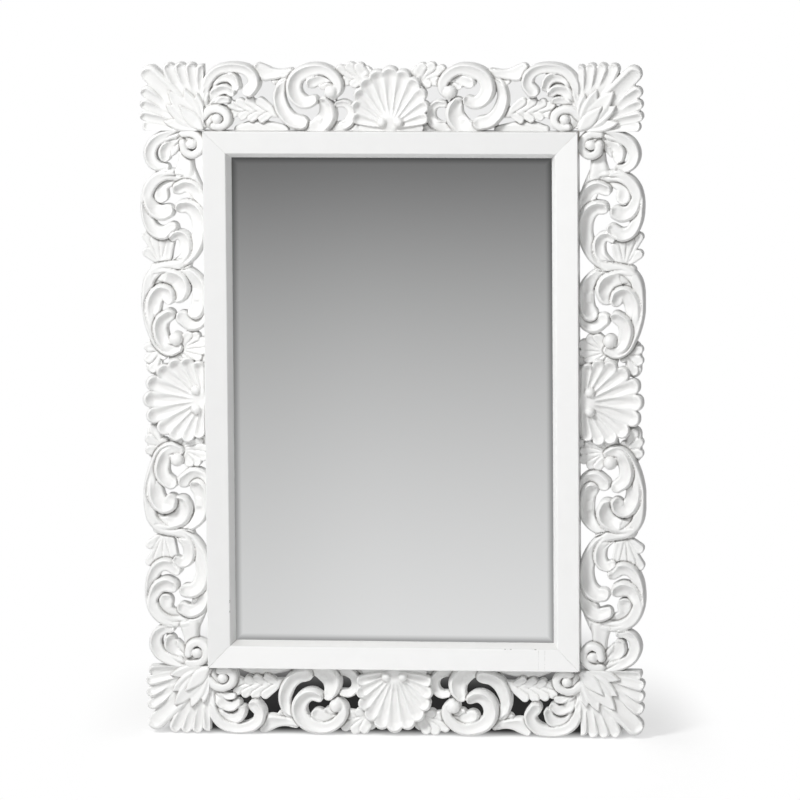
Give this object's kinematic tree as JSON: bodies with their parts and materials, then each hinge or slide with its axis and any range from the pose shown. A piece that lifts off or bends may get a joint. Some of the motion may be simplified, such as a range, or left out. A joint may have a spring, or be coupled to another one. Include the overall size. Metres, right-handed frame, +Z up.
{
  "type": "baroque wall mirror",
  "caption": "Upright wall mirror in a mitred white moulding, bordered by pierced carved boards with scrolls, leaf corners and scallop shells; strap hangers and turn buttons at the back.",
  "frame": {"origin": "on the wall plane, behind the middle of the top carved rail", "axes": "+X to the right seen from the front, +Y into the wall, +Z up; the mirror faces -Y"},
  "size_m": [0.6, 0.034, 0.804],
  "materials": {
    "carved_paint": "carved wood under thick white satin paint",
    "moulding_paint": "planed wood under white satin paint, small chips at the edges",
    "silvered_glass": "clear float glass silvered on the back",
    "kraft_card": "grey-brown packing card, modelled with wood's density",
    "hardboard": "brown hardboard, smooth face out",
    "beech": "raw beech",
    "zinc_steel": "zinc plated",
    "brass_plate": "brass plated"
  },
  "bodies": {
    "frame": {"carved_rail_top": "carved_paint", "carved_rail_bottom": "carved_paint", "carved_stile_left": "carved_paint", "carved_stile_right": "carved_paint", "corner_leaf_top_left": "carved_paint", "corner_leaf_top_right": "carved_paint", "corner_leaf_bottom_left": "carved_paint", "corner_leaf_bottom_right": "carved_paint", "shell_top": "carved_paint", "shell_bottom": "carved_paint", "shell_left": "carved_paint", "shell_right": "carved_paint", "moulding_top": "moulding_paint", "moulding_bottom": "moulding_paint", "moulding_left": "moulding_paint", "moulding_right": "moulding_paint", "mirror_glass": "silvered_glass", "protective_card": "kraft_card", "backing_board": "hardboard", "frame_dowels": "beech", "mitre_keys": "beech", "button_screws": "zinc_steel", "hanger_screws": "zinc_steel", "hanger_strap_left": "zinc_steel", "hanger_strap_right": "zinc_steel"},
    "turn_button_top": {"turn_button_top": "brass_plate"},
    "turn_button_bottom": {"turn_button_bottom": "brass_plate"},
    "turn_button_left_upper": {"turn_button_left_upper": "brass_plate"},
    "turn_button_left_lower": {"turn_button_left_lower": "brass_plate"},
    "turn_button_right_upper": {"turn_button_right_upper": "brass_plate"},
    "turn_button_right_lower": {"turn_button_right_lower": "brass_plate"},
    "hanger_ring_left": {"hanger_ring_left": "zinc_steel"},
    "hanger_ring_right": {"hanger_ring_right": "zinc_steel"}
  },
  "joints": [
    {"name": "turn_button_top_turn", "type": "hinge", "parent": "frame", "child": "turn_button_top", "pos_m": [0, -0.0052, -0.0555], "axis": [0, 1, 0], "range_deg": [-90, 90]},
    {"name": "turn_button_bottom_turn", "type": "hinge", "parent": "frame", "child": "turn_button_bottom", "pos_m": [0, -0.0052, -0.6675], "axis": [0, 1, 0], "range_deg": [-90, 90]},
    {"name": "turn_button_left_upper_turn", "type": "hinge", "parent": "frame", "child": "turn_button_left_upper", "pos_m": [-0.2075, -0.0052, -0.2515], "axis": [0, 1, 0], "range_deg": [-90, 90]},
    {"name": "turn_button_left_lower_turn", "type": "hinge", "parent": "frame", "child": "turn_button_left_lower", "pos_m": [-0.2075, -0.0052, -0.4715], "axis": [0, 1, 0], "range_deg": [-90, 90]},
    {"name": "turn_button_right_upper_turn", "type": "hinge", "parent": "frame", "child": "turn_button_right_upper", "pos_m": [0.2075, -0.0052, -0.2515], "axis": [0, 1, 0], "range_deg": [-90, 90]},
    {"name": "turn_button_right_lower_turn", "type": "hinge", "parent": "frame", "child": "turn_button_right_lower", "pos_m": [0.2075, -0.0052, -0.4715], "axis": [0, 1, 0], "range_deg": [-90, 90]},
    {"name": "hanger_ring_left_swing", "type": "hinge", "parent": "frame", "child": "hanger_ring_left", "pos_m": [-0.21, -0.003, -0.1615], "axis": [1, 0, 0], "range_deg": [0, 180]},
    {"name": "hanger_ring_right_swing", "type": "hinge", "parent": "frame", "child": "hanger_ring_right", "pos_m": [0.21, -0.003, -0.1615], "axis": [1, 0, 0], "range_deg": [0, 180]}
  ]
}
